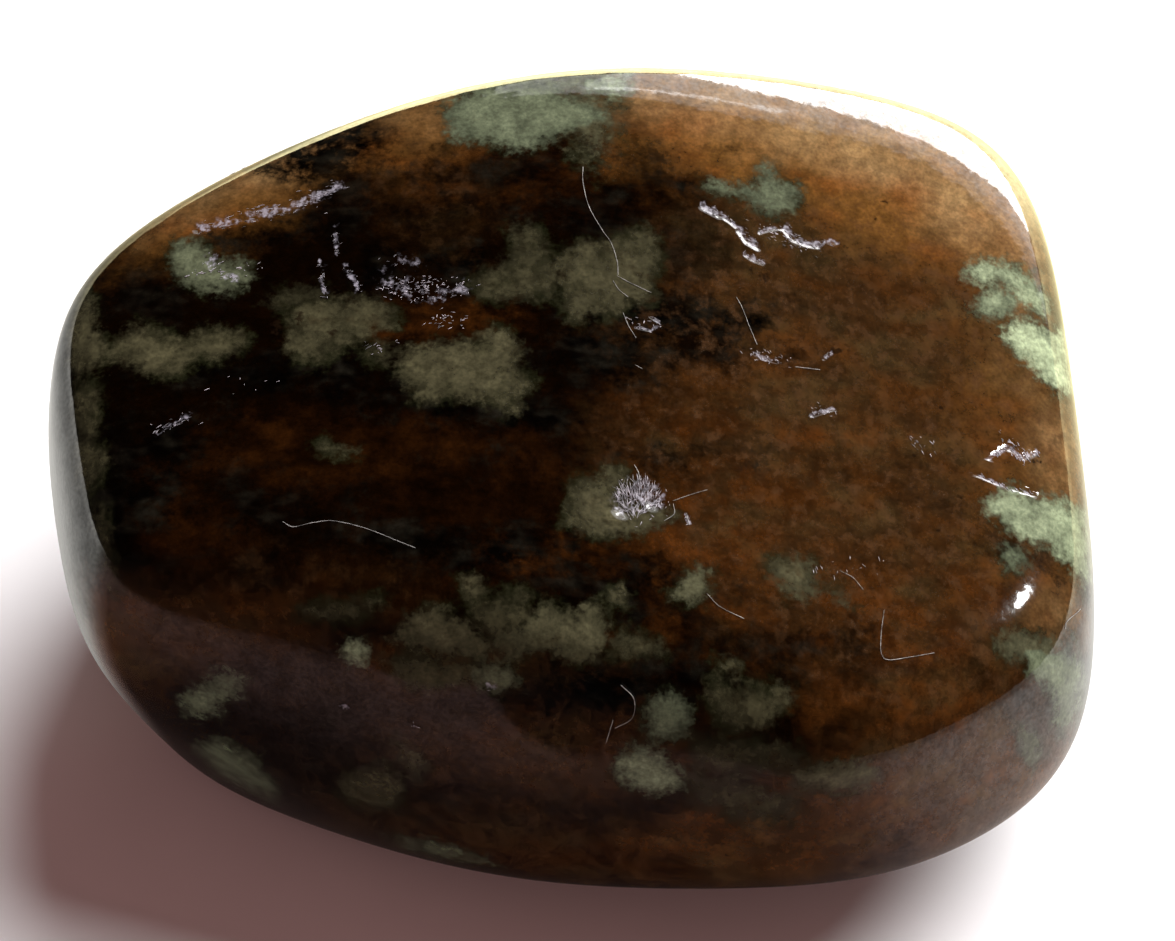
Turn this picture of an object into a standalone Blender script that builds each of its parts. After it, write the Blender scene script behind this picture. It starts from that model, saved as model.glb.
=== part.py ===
# A tumbled stone: one solid pebble, longer than it is wide and wider than it is tall.
# Tumbling wore it to a few broad ground faces that meet in soft edges, and left a few
# chips, short grooves and shallow hollows in its skin. It rests on a small flat spot.
import bmesh
import bpy
import numpy as np
from math import cos, pi, radians, sin

MM = 0.001

# Each ground face: azimuth from +X and elevation of the way it looks out (degrees), and
# its distance from the middle of the stone (mm).
GROUND_FACES = {
    "top": (109, 86, 6.2),
    "right_shoulder": (-7, 73, 6.05),
    "back_bevel": (71, 60, 9.95),
    "corner_bevel": (37, 63, 11.55),
    "front_shoulder": (-102, 29, 10.1),
    "front": (-93, 9, 11.1),
    "front_right": (-50, 22, 12.85),
    "right": (4, 3, 13.55),
    "back_right": (50, 5, 15.2),
    "back": (116, 5, 10.6),
    "back_left": (138, -8, 11.55),
    "left": (189, 19, 14.3),
    "front_left": (-116, -13, 11.35),
    "under": (0, -90, 6.55),
    "under_front": (-82, -56, 8.85),
    "under_left": (191, -19, 13.3),
    "under_back": (96, -24, 7.35),
    "under_right": (-21, -57, 11.2),
}
EDGE_TIGHTNESS = 12.7  # how sharply two ground faces meet: higher is sharper

# Broad shallow hollows: azimuth and elevation of the middle (degrees), radius and depth (mm).
HOLLOWS = {
    "front_left_dip": (-116, 36, 2.3, 0.10),
    "front_dip": (-88, 28, 2.6, 0.12),
    "back_dip": (112, 8, 3.6, 0.22),
    "left_dip": (190, -4, 2.8, 0.14),
    "right_dip": (14, -12, 2.6, 0.16),
    "under_dip_left": (200, -42, 2.6, 0.15),
    "under_dip_front": (-62, -40, 2.8, 0.18),
}

# Scars on the upper side, seen from above: points (x, y), half width and depth, all in mm.
SCARS = {
    "crushed_pit": ([(1.45, -3.95), (2.0, -3.85)], 0.55, 0.20),
    "shoulder_groove": ([(-9.2, 4.3), (-8.4, 4.6), (-7.4, 4.85), (-6.4, 5.4)], 0.34, 0.16),
    "curved_crack": ([(3.4, 5.1), (3.9, 5.0), (4.4, 4.6), (4.7, 4.2), (4.5, 3.8)], 0.24, 0.09),
    "short_crack": ([(5.4, 4.8), (6.4, 4.45), (6.7, 4.55)], 0.24, 0.09),
    "right_pits": ([(11.4, -1.0), (11.7, -0.9)], 0.28, 0.10),
}

FOOT_DEPTH = 0.03  # mm worn off underneath, which leaves the flat spot it rests on

# Mesh: squares along each side of the cube that the surface is drawn from, the half
# lengths that even out their spread (mm), and the finer net around the scars.
SQUARES = 26
SPREAD = (14.0, 11.0, 7.0)
FINE_MARGIN = 0.3
FINE_EDGES = (0.6, 0.35, 0.2)
SMOOTH_ANGLE = 35

COLOUR = (0.048, 0.036, 0.020, 1.0)
ROUGHNESS = 0.12
METALLIC = 0.0


def outward(azimuth, elevation):
    a, e = radians(azimuth), radians(elevation)
    return np.array([cos(e) * cos(a), cos(e) * sin(a), sin(e)])


FACE_SLOPES = np.array([outward(a, e) / d for a, e, d in GROUND_FACES.values()])


def surface_point(direction):
    """The worn surface along a direction from the middle, in mm."""
    share = np.clip(FACE_SLOPES @ direction, 0.0, None)
    nearest = share.max()
    blend = ((share / nearest) ** EDGE_TIGHTNESS).sum() ** (1 / EDGE_TIGHTNESS)
    return direction / (nearest * blend)


def surface_normal(point):
    share = np.clip(FACE_SLOPES @ point, 0.0, None) ** (EDGE_TIGHTNESS - 1)
    slope = share @ FACE_SLOPES
    return slope / np.linalg.norm(slope)


def bowl(distance, radius):
    """Depth share of a hollow: 1 in its middle, and 0 with a smooth rim at its radius."""
    return max(0.0, 1.0 - (distance / radius) ** 2) ** 2


def distance_to_path(point, path):
    """Distance in plan from a point to a path, which may be one short stretch."""
    place = point[:2]
    nearest = np.inf
    for start, end in zip(np.array(path[:-1]), np.array(path[1:])):
        run = end - start
        along = np.clip((place - start) @ run / (run @ run), 0.0, 1.0)
        nearest = min(nearest, np.linalg.norm(place - start - along * run))
    return nearest


def worn_depth(point):
    """How far the hollows and scars sink the surface at a point, in mm."""
    depth = 0.0
    for azimuth, elevation, radius, deep in HOLLOWS.values():
        middle = surface_point(outward(azimuth, elevation))
        depth += deep * bowl(np.linalg.norm(point - middle), radius)
    if point[2] > 0:
        for path, half_width, deep in SCARS.values():
            depth += deep * bowl(distance_to_path(point, path), half_width)
    return depth


def face_near_scar(face):
    point = np.array(face.calc_center_median())
    return point[2] > 0 and any(
        distance_to_path(point, path) < half_width + FINE_MARGIN
        for path, half_width, _ in SCARS.values()
    )


def draw_body(mesh):
    """A closed net of triangles over the worn ground faces, from a squared cube."""
    bmesh.ops.create_cube(mesh, size=2.0)
    bmesh.ops.subdivide_edges(mesh, edges=mesh.edges[:], cuts=SQUARES - 1, use_grid_fill=True)
    for vertex in mesh.verts:
        even = np.tan(np.array(vertex.co) * pi / 4) * SPREAD
        vertex.co = surface_point(even / np.linalg.norm(even))
    bmesh.ops.triangulate(mesh, faces=mesh.faces[:])


def refine_scars(mesh):
    """A finer net where a scar needs it, drawn on the same surface."""
    for longest in FINE_EDGES:
        long_edges = [edge for edge in mesh.edges if edge.calc_length() > longest]
        edges = [edge for edge in long_edges if any(map(face_near_scar, edge.link_faces))]
        bmesh.ops.subdivide_edges(mesh, edges=edges, cuts=1)
        bmesh.ops.triangulate(mesh, faces=[face for face in mesh.faces if len(face.verts) > 3])
        for vertex in mesh.verts:
            vertex.co = surface_point(np.array(vertex.co.normalized()))


def sink_wear(mesh):
    """Hollows and scars pushed in along the surface."""
    for vertex in mesh.verts:
        point = np.array(vertex.co)
        vertex.co = point - worn_depth(point) * surface_normal(point)


def wear_foot(mesh):
    """The flat spot underneath: a level cut just above the lowest point, closed again."""
    level = min(vertex.co.z for vertex in mesh.verts) + FOOT_DEPTH
    everything = mesh.verts[:] + mesh.edges[:] + mesh.faces[:]
    cut = bmesh.ops.bisect_plane(
        mesh, geom=everything, plane_co=(0, 0, level), plane_no=(0, 0, 1), clear_inner=True
    )
    rim = [part for part in cut["geom_cut"] if isinstance(part, bmesh.types.BMEdge)]
    bmesh.ops.contextual_create(mesh, geom=rim)
    bmesh.ops.recalc_face_normals(mesh, faces=mesh.faces[:])


def stand_up(mesh):
    """Scaled to metres, with the middle of its outline over the origin and its foot at zero."""
    points = np.array([vertex.co for vertex in mesh.verts])
    low, high = points.min(axis=0), points.max(axis=0)
    base = np.array([(low[0] + high[0]) / 2, (low[1] + high[1]) / 2, low[2]])
    for vertex, point in zip(mesh.verts, points):
        vertex.co = (point - base) * MM


def stone_material():
    material = bpy.data.materials.new("polished_stone")
    material.use_nodes = True
    shader = material.node_tree.nodes["Principled BSDF"]
    shader.inputs["Base Color"].default_value = COLOUR
    shader.inputs["Roughness"].default_value = ROUGHNESS
    shader.inputs["Metallic"].default_value = METALLIC
    return material


def make_stone():
    net = bmesh.new()
    draw_body(net)
    refine_scars(net)
    sink_wear(net)
    wear_foot(net)
    stand_up(net)
    mesh = bpy.data.meshes.new("stone")
    net.to_mesh(mesh)
    net.free()
    mesh.shade_smooth()
    mesh.set_sharp_from_angle(angle=radians(SMOOTH_ANGLE))
    mesh.materials.append(stone_material())
    bpy.context.scene.collection.objects.link(bpy.data.objects.new("stone", mesh))


for old in list(bpy.data.objects):
    bpy.data.objects.remove(old)
make_stone()
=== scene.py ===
from math import cos, pi, radians, sin

import bmesh
import bpy
import numpy as np
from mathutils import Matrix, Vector


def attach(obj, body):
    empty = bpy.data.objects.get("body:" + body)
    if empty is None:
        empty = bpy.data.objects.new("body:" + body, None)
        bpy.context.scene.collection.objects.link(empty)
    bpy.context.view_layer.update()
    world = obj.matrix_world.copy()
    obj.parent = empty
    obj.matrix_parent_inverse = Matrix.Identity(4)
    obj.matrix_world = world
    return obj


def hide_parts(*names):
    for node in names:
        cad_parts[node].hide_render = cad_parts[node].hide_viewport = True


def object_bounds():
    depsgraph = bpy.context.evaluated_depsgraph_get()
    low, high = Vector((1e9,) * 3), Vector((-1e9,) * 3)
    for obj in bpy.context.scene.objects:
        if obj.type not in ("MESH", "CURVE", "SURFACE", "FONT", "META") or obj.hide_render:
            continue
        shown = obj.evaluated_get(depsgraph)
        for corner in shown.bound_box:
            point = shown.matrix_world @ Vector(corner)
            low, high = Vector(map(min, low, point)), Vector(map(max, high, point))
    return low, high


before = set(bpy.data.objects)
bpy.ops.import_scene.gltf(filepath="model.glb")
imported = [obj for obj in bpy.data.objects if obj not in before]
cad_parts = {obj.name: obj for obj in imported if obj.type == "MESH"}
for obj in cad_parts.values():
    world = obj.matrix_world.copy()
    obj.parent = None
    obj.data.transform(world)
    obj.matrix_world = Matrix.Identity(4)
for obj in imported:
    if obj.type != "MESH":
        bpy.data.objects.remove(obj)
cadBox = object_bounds()
mm = 0.001

# The photo is 1175 x 941 pixels. Places on the upper side are given as its pixels, and are
# laid on the stone's own surface along the line of sight.
photo = {
    "width": 1175,
    "height": 941,
    "stoneX": 574,          # where the middle of the stone shows
    "stoneY": 475.3,
    "pixel": 0.0267,        # mm at the stone
    "elevation": 60,        # degrees above the horizon
    "distance": 150,        # mm from the stone's middle
    "sensor": 36,
    "nearClip": 10,         # mm
}
tilt = radians(photo["elevation"])
sightRight = np.array([1.0, 0.0, 0.0])
sightUp = np.array([0.0, sin(tilt), cos(tilt)])
sightBack = np.array([0.0, -cos(tilt), sin(tilt)])
focal = photo["distance"] / photo["pixel"]      # in photo pixels
offsetX = photo["width"] / 2 - photo["stoneX"]
offsetY = photo["stoneY"] - photo["height"] / 2
eye = (sightBack * photo["distance"] + sightRight * offsetX * photo["pixel"]
       + sightUp * offsetY * photo["pixel"])

# Form: the ground faces, each with azimuth and elevation (degrees) and distance from the middle (mm).
form = {
    "groundFaces": {
        "top": (109, 86, 6.2),
        "rightShoulder": (-7, 73, 6.05),
        "backBevel": (71, 60, 9.95),
        "cornerBevel": (37, 63, 11.55),
        "frontShoulder": (-102, 29, 10.1),
        "front": (-93, 9, 11.1),
        "frontRight": (-50, 22, 12.85),
        "right": (4, 3, 13.55),
        "backRight": (50, 5, 15.2),
        "back": (116, 5, 10.6),
        "backLeft": (138, -8, 11.55),
        "left": (189, 19, 14.3),
        "frontLeft": (-116, -13, 11.35),
        "under": (0, -90, 6.55),
        "underFront": (-82, -56, 8.85),
        "underLeft": (191, -19, 13.3),
        "underBack": (96, -24, 7.35),
        "underRight": (-21, -57, 11.2),
    },
    "edgeTightness": 12.7,
    "footDepth": 0.03,
    "squares": (136, 106, 60),      # net over the body, along X, Y and Z
    "spread": (14.0, 11.0, 7.0),
}

# Broad shallow hollows: azimuth and elevation (degrees), radius and depth (mm).
hollows = {
    "frontLeftDip": (-116, 36, 2.3, 0.10),
    "frontDip": (-88, 28, 2.6, 0.12),
    "backDip": (112, 8, 3.6, 0.22),
    "leftDip": (190, -4, 2.8, 0.14),
    "rightDip": (14, -12, 2.6, 0.16),
    "underDipLeft": (200, -42, 2.6, 0.15),
    "underDipFront": (-62, -40, 2.8, 0.18),
}

# Scars: photo x and y in turn along the mark, half width (mm), depth (mm) and how frosted it is.
scars = {
    "crushedPit": ([624, 506, 636, 496, 648, 490, 654, 498], 0.52, 0.07, 0.66),
    "shoulderGroove": ([200, 228, 222, 222, 255, 215, 293, 207, 322, 194, 338, 186], 0.3, 0.045, 0.62),
    "shoulderStrand": ([248, 213, 262, 210, 276, 206], 0.12, 0.023, 0.95),
    "shoulderStrandRight": ([312, 198, 324, 193, 336, 186], 0.12, 0.023, 0.95),
    "curvedCrack": ([704, 206, 712, 210, 720, 214], 0.22, 0.027, 1),
    "curvedCrackThin": ([720, 214, 732, 222, 741, 230], 0.12, 0.023, 0.75),
    "curvedCrackLower": ([741, 230, 748, 240, 758, 246], 0.2, 0.036, 1),
    "crackDash": ([746, 254, 754, 259, 763, 262], 0.15, 0.018, 0.9),
    "shortCrack": ([760, 232, 772, 228, 786, 228], 0.1, 0.023, 0.6),
    "shortCrackLower": ([786, 229, 793, 238, 806, 243, 818, 245], 0.17, 0.027, 1),
    "shortCrackTail": ([818, 245, 826, 241, 836, 242], 0.14, 0.013, 0.85),
    "curl": ([636, 327, 650, 330, 662, 324, 650, 316], 0.08, 0.013, 0.75),
    "sparkle": ([388, 282, 403, 287, 420, 290], 0.56, 0.023, 0.42),
    "sparkleRight": ([436, 296, 448, 294, 462, 288], 0.46, 0.018, 0.42),
    "sparkleAbove": ([388, 268, 402, 260, 416, 264], 0.4, 0.013, 0.3),
    "sparkleLeft": ([346, 266, 352, 278, 360, 290], 0.16, 0.013, 0.6),
    "leftPit": ([158, 432, 170, 424, 188, 416], 0.16, 0.027, 0.7),
    "upperLeftPit": ([213, 256, 211, 262, 214, 268], 0.2, 0.018, 0.95),
    "upperLeftPitBelow": ([228, 277, 236, 278], 0.2, 0.018, 0.95),
    "rightPits": ([990, 458, 1008, 446, 1022, 458, 1036, 452], 0.13, 0.023, 0.7),
    "rightScratch": ([976, 474, 990, 480, 1006, 487, 1034, 495], 0.1, 0.018, 0.75),
    "leftScratch": ([334, 226, 336, 240, 337, 255], 0.08, 0.009, 0.6),
    "leftScratchBelow": ([320, 260, 322, 278, 325, 296], 0.09, 0.013, 0.65),
    "smallPit": ([812, 415, 824, 411, 834, 408], 0.12, 0.018, 0.85),
    "speckPit": ([824, 358, 832, 352], 0.11, 0.013, 0.8),
    "crackTail": ([752, 352, 762, 358, 778, 362], 0.11, 0.009, 0.75),
    "pitFleck": ([686, 514, 689, 524], 0.1, 0.013, 0.8),
    "bandFleck": ([488, 686, 494, 688], 0.14, 0.009, 0.7),
    "bandFleckLeft": ([343, 706, 348, 707], 0.09, 0.009, 0.7),
    "bandFleckLower": ([410, 724, 416, 727], 0.12, 0.009, 0.6),
}
scarNet = {"passes": 2, "margin": 0.10}     # halvings of the net round a scar, and how far out (mm)

# Small black specks: photo x and y, and half length and half height in pixels.
specks = [
    (740, 408, 6, 4), (682, 457, 6, 3), (836, 350, 7, 6), (875, 219, 4, 3), (885, 201, 5, 4),
    (912, 455, 4, 3), (942, 408, 5, 3), (905, 408, 4, 3), (889, 340, 4, 3), (765, 277, 9, 5),
    (752, 270, 6, 4), (920, 325, 4, 3), (1035, 458, 8, 7), (650, 457, 16, 3), (960, 498, 6, 4),
    (938, 530, 4, 3), (893, 218, 3, 3), (630, 545, 4, 3), (300, 319, 9, 8), (276, 326, 7, 12),
    (332, 333, 7, 5),
]


# Form

def addObject(name, data):
    made = bpy.data.objects.new(name, data)
    bpy.context.scene.collection.objects.link(made)
    return made


def outward(azimuth, elevation):
    a, e = radians(azimuth), radians(elevation)
    return np.array([cos(e) * cos(a), cos(e) * sin(a), sin(e)])


faceSlopes = np.array([outward(a, e) / d for a, e, d in form["groundFaces"].values()])
tightness = form["edgeTightness"]


def bareReach(points):
    # 1 on the worn surface, less inside it and more outside
    share = np.clip(points @ faceSlopes.T, 1e-12, None)
    nearest = share.max(axis=1)
    return nearest * ((share / nearest[:, None]) ** tightness).sum(axis=1) ** (1 / tightness)


def onSurface(points):
    return points / bareReach(points)[:, None]


def surfaceNormals(points):
    share = np.clip(points @ faceSlopes.T, 0, None)
    slope = (share / share.max(axis=1)[:, None]) ** (tightness - 1) @ faceSlopes
    return slope / np.linalg.norm(slope, axis=1)[:, None]


# The search along a line of sight: where it starts (mm before the middle), how many steps it
# takes, the probe that finds the slope, and the longest step (mm).
search = {"from": 16.0, "steps": 16, "probe": 0.001, "longest": 4}


def pixelPoints(pixels):
    # where the lines of sight through photo pixels meet the stone, closed in on from outside it
    pixels = np.reshape(pixels, (-1, 2)).astype(float)
    across = (pixels[:, 0] - photo["width"] / 2) / focal
    down = (pixels[:, 1] - photo["height"] / 2) / focal
    sight = across[:, None] * sightRight - down[:, None] * sightUp - sightBack
    reach = np.full(len(pixels), photo["distance"] - search["from"])
    for _ in range(search["steps"]):
        points = eye + reach[:, None] * sight
        level = bareReach(points)
        step = search["probe"]
        slope = (bareReach(points + step * sight) - level) / step
        stride = (level - 1) / np.minimum(slope, -1e-4)
        reach = reach - np.clip(stride, -search["longest"], search["longest"])
    return eye + reach[:, None] * sight


def pathDistance(points, path):
    nearest = np.full(len(points), np.inf)
    for start, end in zip(path[:-1], path[1:]):
        run = end - start
        along = np.clip((points - start) @ run / (run @ run), 0, 1)
        nearest = np.minimum(nearest, np.linalg.norm(points - start - along[:, None] * run, axis=1))
    return nearest


def bowl(distance, radius):
    return np.clip(1 - (distance / radius) ** 2, 0, None) ** 2


scarPaths = {name: onSurface(pixelPoints(scar[0])) for name, scar in scars.items()}
speckPlaces = onSurface(pixelPoints([speck[:2] for speck in specks]))


def scarShares(points):
    # for each point the depth (mm) and frosting that the scars give it
    depth = np.zeros(len(points))
    frost = np.zeros(len(points))
    for name, (_, halfWidth, deep, frosting) in scars.items():
        share = bowl(pathDistance(points, scarPaths[name]), halfWidth)
        depth = np.maximum(depth, deep * share)
        frost = np.maximum(frost, frosting * share)
    return depth, frost


def hollowDepth(points):
    depth = np.zeros(len(points))
    for azimuth, elevation, radius, deep in hollows.values():
        middle = onSurface(outward(azimuth, elevation)[None, :])[0]
        depth += deep * bowl(np.linalg.norm(points - middle, axis=1), radius)
    return depth


def nearScars(points):
    near = np.zeros(len(points), bool)
    for name, scar in scars.items():
        near |= pathDistance(points, scarPaths[name]) < scar[1] + scarNet["margin"]
    for speck, place in zip(specks, speckPlaces):
        near |= np.linalg.norm(points - place, axis=1) < speck[2] * photo["pixel"] + scarNet["margin"]
    return near


def netPoints(net):
    return np.array([vertex.co for vertex in net.verts])


def placePoints(net, points):
    for vertex, point in zip(net.verts, points):
        vertex.co = point


def drawNet():
    # a squared block with its own count along each side, blown out to the worn surface
    net = bmesh.new()
    bmesh.ops.create_cube(net, size=2.0)
    for axis, count in enumerate(form["squares"]):
        along = [e for e in net.edges if abs(e.verts[0].co[axis] - e.verts[1].co[axis]) > 1e-4]
        bmesh.ops.subdivide_edges(net, edges=along, cuts=count - 1, use_grid_fill=True)
    even = np.tan(netPoints(net) * pi / 4) * form["spread"]
    placePoints(net, onSurface(even))
    for _ in range(scarNet["passes"]):
        net.verts.index_update()
        near = nearScars(netPoints(net))
        edges = [e for e in net.edges if near[e.verts[0].index] and near[e.verts[1].index]]
        bmesh.ops.subdivide_edges(net, edges=edges, cuts=1, use_grid_fill=True)
        placePoints(net, onSurface(netPoints(net)))
    bmesh.ops.triangulate(net, faces=[face for face in net.faces if len(face.verts) > 4])
    return net


# Markings

# Green patches: strength, and photo x and y in turn round the outline.
greenOutlines = {
    "top": (0.88, [445, 112, 450, 100, 470, 92, 500, 82, 540, 76, 566, 77, 563, 90, 582, 96, 600, 104,
        610, 113, 606, 124, 590, 128, 568, 133, 550, 141, 533, 149, 510, 150, 495, 142, 470, 142,
        449, 140]),
    "topPale": (2, [568, 82, 590, 75, 628, 74, 632, 90, 610, 98, 586, 92]),
    "star": (0.85, [705, 182, 722, 181, 738, 184, 757, 186, 756, 168, 765, 162, 776, 167, 779, 178,
        790, 182, 800, 184, 800, 200, 790, 214, 770, 216, 753, 208, 738, 196, 722, 193, 706, 189]),
    "centre": (0.42, [570, 248, 585, 240, 600, 246, 612, 236, 628, 232, 645, 226, 655, 238, 661, 252,
        660, 270, 654, 284, 655, 298, 640, 303, 630, 300, 624, 314, 606, 318, 590, 312, 578, 323, 569, 318,
        563, 302, 562, 285, 560, 270, 552, 262]),
    "centreFaint": (0.3, [510, 228, 530, 222, 542, 232, 546, 250, 552, 262, 560, 275, 557, 294, 540, 298,
        520, 300, 500, 300, 478, 295, 470, 285, 482, 270, 498, 265, 508, 258, 513, 245]),
    "middle": (0.48, [395, 362, 402, 350, 420, 346, 440, 344, 460, 342, 478, 340, 490, 328, 505, 330,
        514, 338, 524, 350, 518, 362, 524, 376, 534, 384, 524, 392, 516, 402, 522, 412, 512, 414, 502, 406,
        494, 400, 470, 400, 450, 398, 430, 402, 414, 398, 410, 388, 398, 378]),
    "upperLeft": (0.8, [172, 245, 182, 238, 200, 240, 208, 250, 215, 262, 230, 262, 245, 262, 252, 272,
        245, 284, 232, 292, 215, 292, 195, 288, 178, 280, 170, 262]),
    "left": (0.44, [112, 352, 116, 338, 124, 331, 138, 326, 155, 328, 172, 334, 181, 343, 198, 332,
        205, 328, 222, 328, 240, 332, 246, 338, 240, 348, 232, 354, 215, 358, 196, 360, 186, 370, 172, 376,
        160, 378, 146, 374, 134, 366, 122, 360]),
    "broken": (0.4, [282, 352, 290, 330, 285, 312, 305, 300, 335, 300, 352, 296, 372, 300, 398, 312,
        396, 326, 378, 330, 360, 340, 345, 345, 330, 358, 308, 362]),
    "brokenRight": (0.34, [362, 346, 380, 341, 398, 350, 390, 364, 372, 362]),
    "hazeLow": (0.2, [262, 300, 300, 286, 330, 290, 322, 300, 285, 312]),
    "leftRimEnd": (0.34, [92, 505, 104, 505, 112, 555, 121, 592, 110, 600, 96, 560]),
    # these two are green of the stone, partly painted glow round the lamp's highlight
    "lowerRightGreenAndGlow": (0.62, [996, 642, 1010, 628, 1060, 640, 1056, 660, 1020, 664, 1000, 656]),
    "rightUnderGreenAndGlow": (0.9, [1000, 549, 1014, 541, 1030, 552, 1028, 568, 1008, 570]),
    "lowHaze": (0.3, [690, 742, 760, 740, 800, 750, 800, 770, 740, 778, 696, 768]),
    "ledgeUnder": (0.4, [382, 656, 420, 656, 468, 664, 474, 684, 430, 692, 392, 678]),
    "crescent": (0.42, [314, 446, 324, 441, 336, 446, 350, 445, 362, 448, 352, 455, 334, 456, 320, 453]),
    "leftRimUpper": (0.5, [78, 300, 86, 290, 93, 300, 93, 326, 112, 350, 102, 364, 84, 372, 68, 364,
        70, 330]),
    "leftRimLower": (0.34, [72, 440, 90, 440, 110, 458, 100, 480, 84, 500, 74, 480]),
    "leftRim": (0.4, [78, 385, 93, 378, 98, 400, 97, 430, 88, 458, 78, 440, 74, 410]),
    # hook, hookCore, right, rightLow and lowerRight sit on the right rim with strengths above 1: green of
    # the stone, partly painted light glowing through the thin edge
    "hook": (2.3, [963, 268, 975, 262, 995, 262, 1012, 264, 1028, 272, 1036, 282, 1046, 296, 1050, 312,
        1044, 320, 1034, 312, 1024, 300, 1012, 290, 1000, 283, 985, 282, 968, 280]),
    "hookCore": (1.9, [984, 292, 1000, 286, 1012, 290, 1019, 300, 1015, 311, 1005, 316, 990, 320, 978, 315,
        970, 306, 976, 299]),
    "right": (3.3, [1004, 330, 1012, 320, 1030, 320, 1045, 328, 1062, 334, 1068, 350, 1072, 370, 1076, 392,
        1066, 396, 1054, 386, 1040, 376, 1028, 362, 1016, 352, 1006, 342]),
    "rightLow": (2, [987, 502, 1000, 492, 1008, 486, 1020, 491, 1030, 496, 1048, 497, 1062, 497, 1070, 508,
        1078, 508, 1088, 502, 1091, 520, 1092, 546, 1095, 566, 1091, 582, 1080, 579, 1069, 565, 1058, 556,
        1048, 544, 1032, 541, 1016, 539, 1006, 529, 1000, 518, 988, 514]),
    "lowerRight": (1.3, [1012, 640, 1024, 634, 1036, 642, 1058, 651, 1074, 659, 1084, 664, 1087, 680,
        1083, 696, 1077, 712, 1070, 728, 1060, 738, 1054, 720, 1056, 702, 1044, 684, 1030, 672,
        1024, 660]),
    "cornerFaint": (0.8, [1018, 725, 1032, 730, 1042, 745, 1040, 762, 1030, 772, 1022, 760, 1018, 742]),
    "pit": (0.46, [568, 500, 572, 485, 585, 478, 598, 480, 606, 468, 620, 465, 628, 478, 622, 495,
        640, 505, 655, 510, 675, 510, 678, 520, 660, 526, 645, 532, 625, 536, 600, 536, 580, 532,
        564, 520]),
    "ledge": (0.56, [385, 640, 400, 628, 408, 615, 425, 610, 445, 610, 455, 620, 470, 622, 480, 635,
        490, 640, 505, 630, 520, 625, 535, 615, 540, 605, 552, 600, 560, 612, 575, 612, 585, 602, 600, 600,
        606, 612, 610, 630, 606, 645, 600, 655, 590, 662, 570, 662, 550, 652, 530, 655, 510, 660, 495, 655,
        480, 662, 460, 658, 440, 655, 420, 650, 400, 645]),
    "ledgeFleck": (0.45, [462, 580, 478, 578, 485, 590, 480, 602, 468, 600]),
    "ledgeFleckRight": (0.4, [505, 592, 520, 586, 532, 596, 522, 606, 506, 604]),
    "ledgeHaze": (0.42, [470, 602, 500, 600, 530, 612, 520, 628, 490, 636, 472, 620]),
    "ledgeRight": (0.35, [612, 634, 640, 632, 668, 642, 664, 655, 630, 658, 610, 655]),
    "underLedge": (0.75, [466, 672, 484, 664, 508, 668, 518, 682, 500, 692, 480, 690]),
    "dot": (0.5, [606, 592, 620, 586, 628, 596, 622, 604, 608, 602]),
    "smallStar": (0.62, [668, 592, 680, 586, 686, 574, 698, 568, 712, 570, 706, 580, 712, 592, 704, 600,
        690, 602, 674, 600]),
    "round": (0.5, [766, 562, 780, 558, 790, 556, 808, 560, 820, 572, 816, 580, 820, 592, 808, 600,
        792, 600, 786, 590, 778, 580, 770, 574]),
    "roundFaint": (0.4, [826, 588, 840, 584, 850, 594, 856, 604, 846, 608, 834, 606]),
    "pairUpper": (0.95, [648, 705, 656, 698, 668, 694, 682, 698, 690, 708, 692, 722, 686, 734, 670, 740,
        654, 738, 645, 728, 650, 716]),
    "pairLower": (1.4, [618, 762, 630, 750, 645, 745, 660, 752, 668, 765, 680, 770, 684, 782, 672, 790,
        650, 792, 632, 788, 620, 778]),
    "beside": (0.34, [703, 684, 716, 680, 728, 686, 740, 692, 756, 684, 770, 690, 778, 684, 790, 690,
        794, 702, 780, 712, 768, 724, 752, 730, 735, 730, 718, 724, 712, 706]),
    "besideUpper": (0.45, [716, 662, 730, 658, 742, 664, 738, 672, 722, 672]),
    "lowFaint": (0.6, [790, 770, 815, 765, 840, 765, 862, 762, 880, 768, 878, 780, 858, 790, 830, 792,
        800, 786]),
    "bandUpper": (0.9, [178, 700, 190, 690, 205, 684, 212, 672, 228, 670, 244, 682, 240, 695, 225, 700,
        218, 714, 200, 716, 186, 712]),
    "bandLower": (0.85, [196, 745, 212, 738, 228, 742, 240, 752, 256, 762, 268, 778, 278, 792, 262, 794,
        240, 788, 222, 778, 206, 764]),
    "bandPale": (2, [342, 650, 350, 643, 362, 642, 370, 650, 366, 662, 352, 662]),
    "bandFaint": (0.35, [300, 610, 320, 604, 345, 604, 365, 598, 380, 596, 384, 606, 370, 614, 350, 620,
        325, 618, 305, 616]),
    "bandBlue": (0.4, [345, 775, 365, 770, 385, 765, 400, 775, 405, 790, 395, 805, 375, 810, 355, 800,
        342, 790]),
    "bandHaze": (0.34, [690, 775, 760, 788, 800, 800, 790, 822, 730, 818, 690, 800]),
    "bandTall": (0.5, [398, 740, 408, 745, 420, 755, 424, 768, 416, 780, 405, 770, 400, 755]),
    "bottom": (0.8, [400, 838, 430, 842, 460, 850, 470, 856, 440, 856, 410, 848]),
}
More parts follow.
